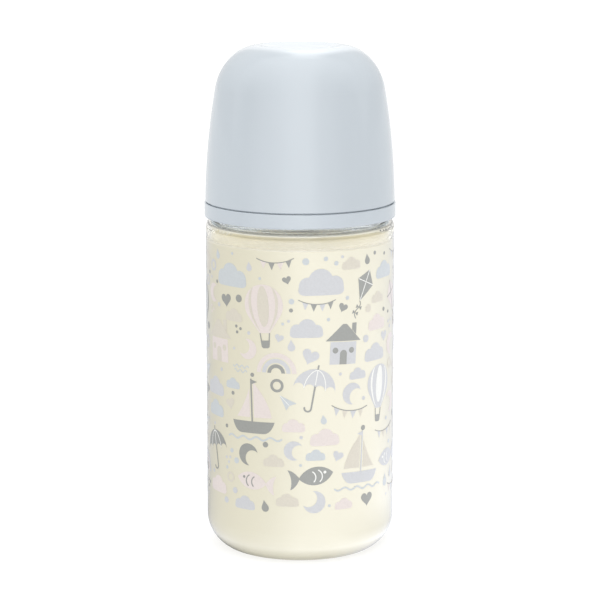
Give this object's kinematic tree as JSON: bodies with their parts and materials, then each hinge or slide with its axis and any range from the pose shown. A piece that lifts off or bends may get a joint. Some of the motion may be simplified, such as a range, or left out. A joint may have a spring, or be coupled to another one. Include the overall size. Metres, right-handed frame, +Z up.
{
  "type": "baby bottle",
  "caption": "Straight round feeding bottle with a threaded wide neck, a screw ring that clamps a soft teat, and a dished dome cap that pulls off.",
  "frame": {"origin": "centre of the foot, on the plane the bottle stands on", "axes": "+Z up along the bottle's axis, -Y towards the viewer of the picture, +X to the viewer's right"},
  "size_m": [0.0648, 0.0648, 0.1717],
  "materials": {
    "bottle": "milky, faintly amber, translucent moulded plastic, polished",
    "screw_ring": "pale blue-grey, smooth satin-gloss moulded plastic",
    "cap": "pale blue-grey, smooth satin-gloss moulded plastic",
    "teat": "soft translucent silicone, satin"
  },
  "bodies": {
    "bottle": {"bottle": "bottle"},
    "teat": {"teat": "teat"},
    "screw_ring": {"screw_ring": "screw_ring"},
    "cap": {"cap": "cap"}
  },
  "joints": [
    {"name": "teat_lift", "type": "slide", "parent": "bottle", "child": "teat", "axis": [0, 0, 1], "range_m": [0, 0.00563]},
    {"name": "ring_turn", "type": "hinge", "parent": "teat", "child": "screw_ring", "pos_m": [0, 0, 0.12], "axis": [0, 0, 1], "range_deg": [0, 450]},
    {"name": "cap_lift", "type": "slide", "parent": "screw_ring", "child": "cap", "axis": [0, 0, 1], "range_m": [0, 0.055]}
  ],
  "couplings": [
    {"joint": "teat_lift", "follows": "ring_turn", "m_per_rad": 0.0007162}
  ]
}
